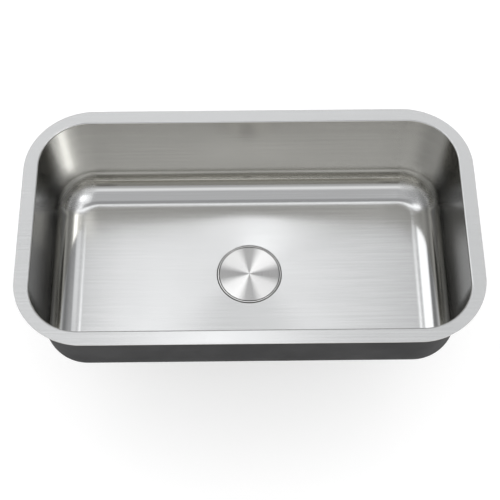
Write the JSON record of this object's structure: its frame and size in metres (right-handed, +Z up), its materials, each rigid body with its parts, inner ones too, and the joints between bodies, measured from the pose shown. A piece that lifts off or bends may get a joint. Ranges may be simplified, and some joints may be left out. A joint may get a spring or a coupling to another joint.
{
  "type": "undermount kitchen sink",
  "caption": "Undermount steel sink bowl with a flat rim, rounded corners, a falling floor and a basket strainer drain under a flat lid.",
  "frame": {"origin": "centre of the rim's flat top, in the plane that meets the underside of the worktop", "axes": "+X along the sink to the user's right, +Y to the back, +Z up out of the bowl"},
  "size_m": [0.76, 0.44, 0.377],
  "materials": {
    "brushed_steel": "fine satin brushed stainless steel",
    "turned_steel": "concentric brushed stainless steel",
    "polished_steel": "polished stainless steel",
    "dark_coating": "smooth sprayed dark grey sound coating",
    "black_rubber": "matt moulded rubber",
    "pressed_fibre": "pressed fibre board",
    "white_plastic": "matt white polyethylene",
    "plain_brass": "machined brass",
    "bright_chrome": "bright chrome plate"
  },
  "bodies": {
    "sink": {"bowl": "brushed_steel", "sound_coating": "dark_coating", "sound_pad_left": "black_rubber", "sound_pad_right": "black_rubber", "sound_pad_front": "black_rubber", "sound_pad_rear": "black_rubber", "strainer_body": "polished_steel", "flange_gasket": "black_rubber", "sink_gasket": "black_rubber", "friction_ring": "pressed_fibre", "locknut": "plain_brass", "tailpiece_washer": "white_plastic", "tailpiece": "bright_chrome", "coupling_nut": "bright_chrome"},
    "basket": {"basket": "polished_steel", "basket_hub": "polished_steel", "hub_seal_ring": "black_rubber"},
    "stopper": {"stopper_post": "polished_steel", "stopper_knob": "bright_chrome", "stopper_backing": "polished_steel", "stopper_seal": "black_rubber", "stopper_nut": "plain_brass"},
    "lid": {"drain_lid": "turned_steel", "lid_feet": "black_rubber"}
  },
  "joints": [
    {"name": "basket_lift", "type": "slide", "parent": "sink", "child": "basket", "axis": [0, 0, 1], "range_m": [0, 0.31]},
    {"name": "stopper_push", "type": "slide", "parent": "basket", "child": "stopper", "axis": [0, 0, 1], "range_m": [-0.009, 0]},
    {"name": "lid_lift", "type": "slide", "parent": "basket", "child": "lid", "axis": [0, 0, 1], "range_m": [0, 0.24]}
  ]
}
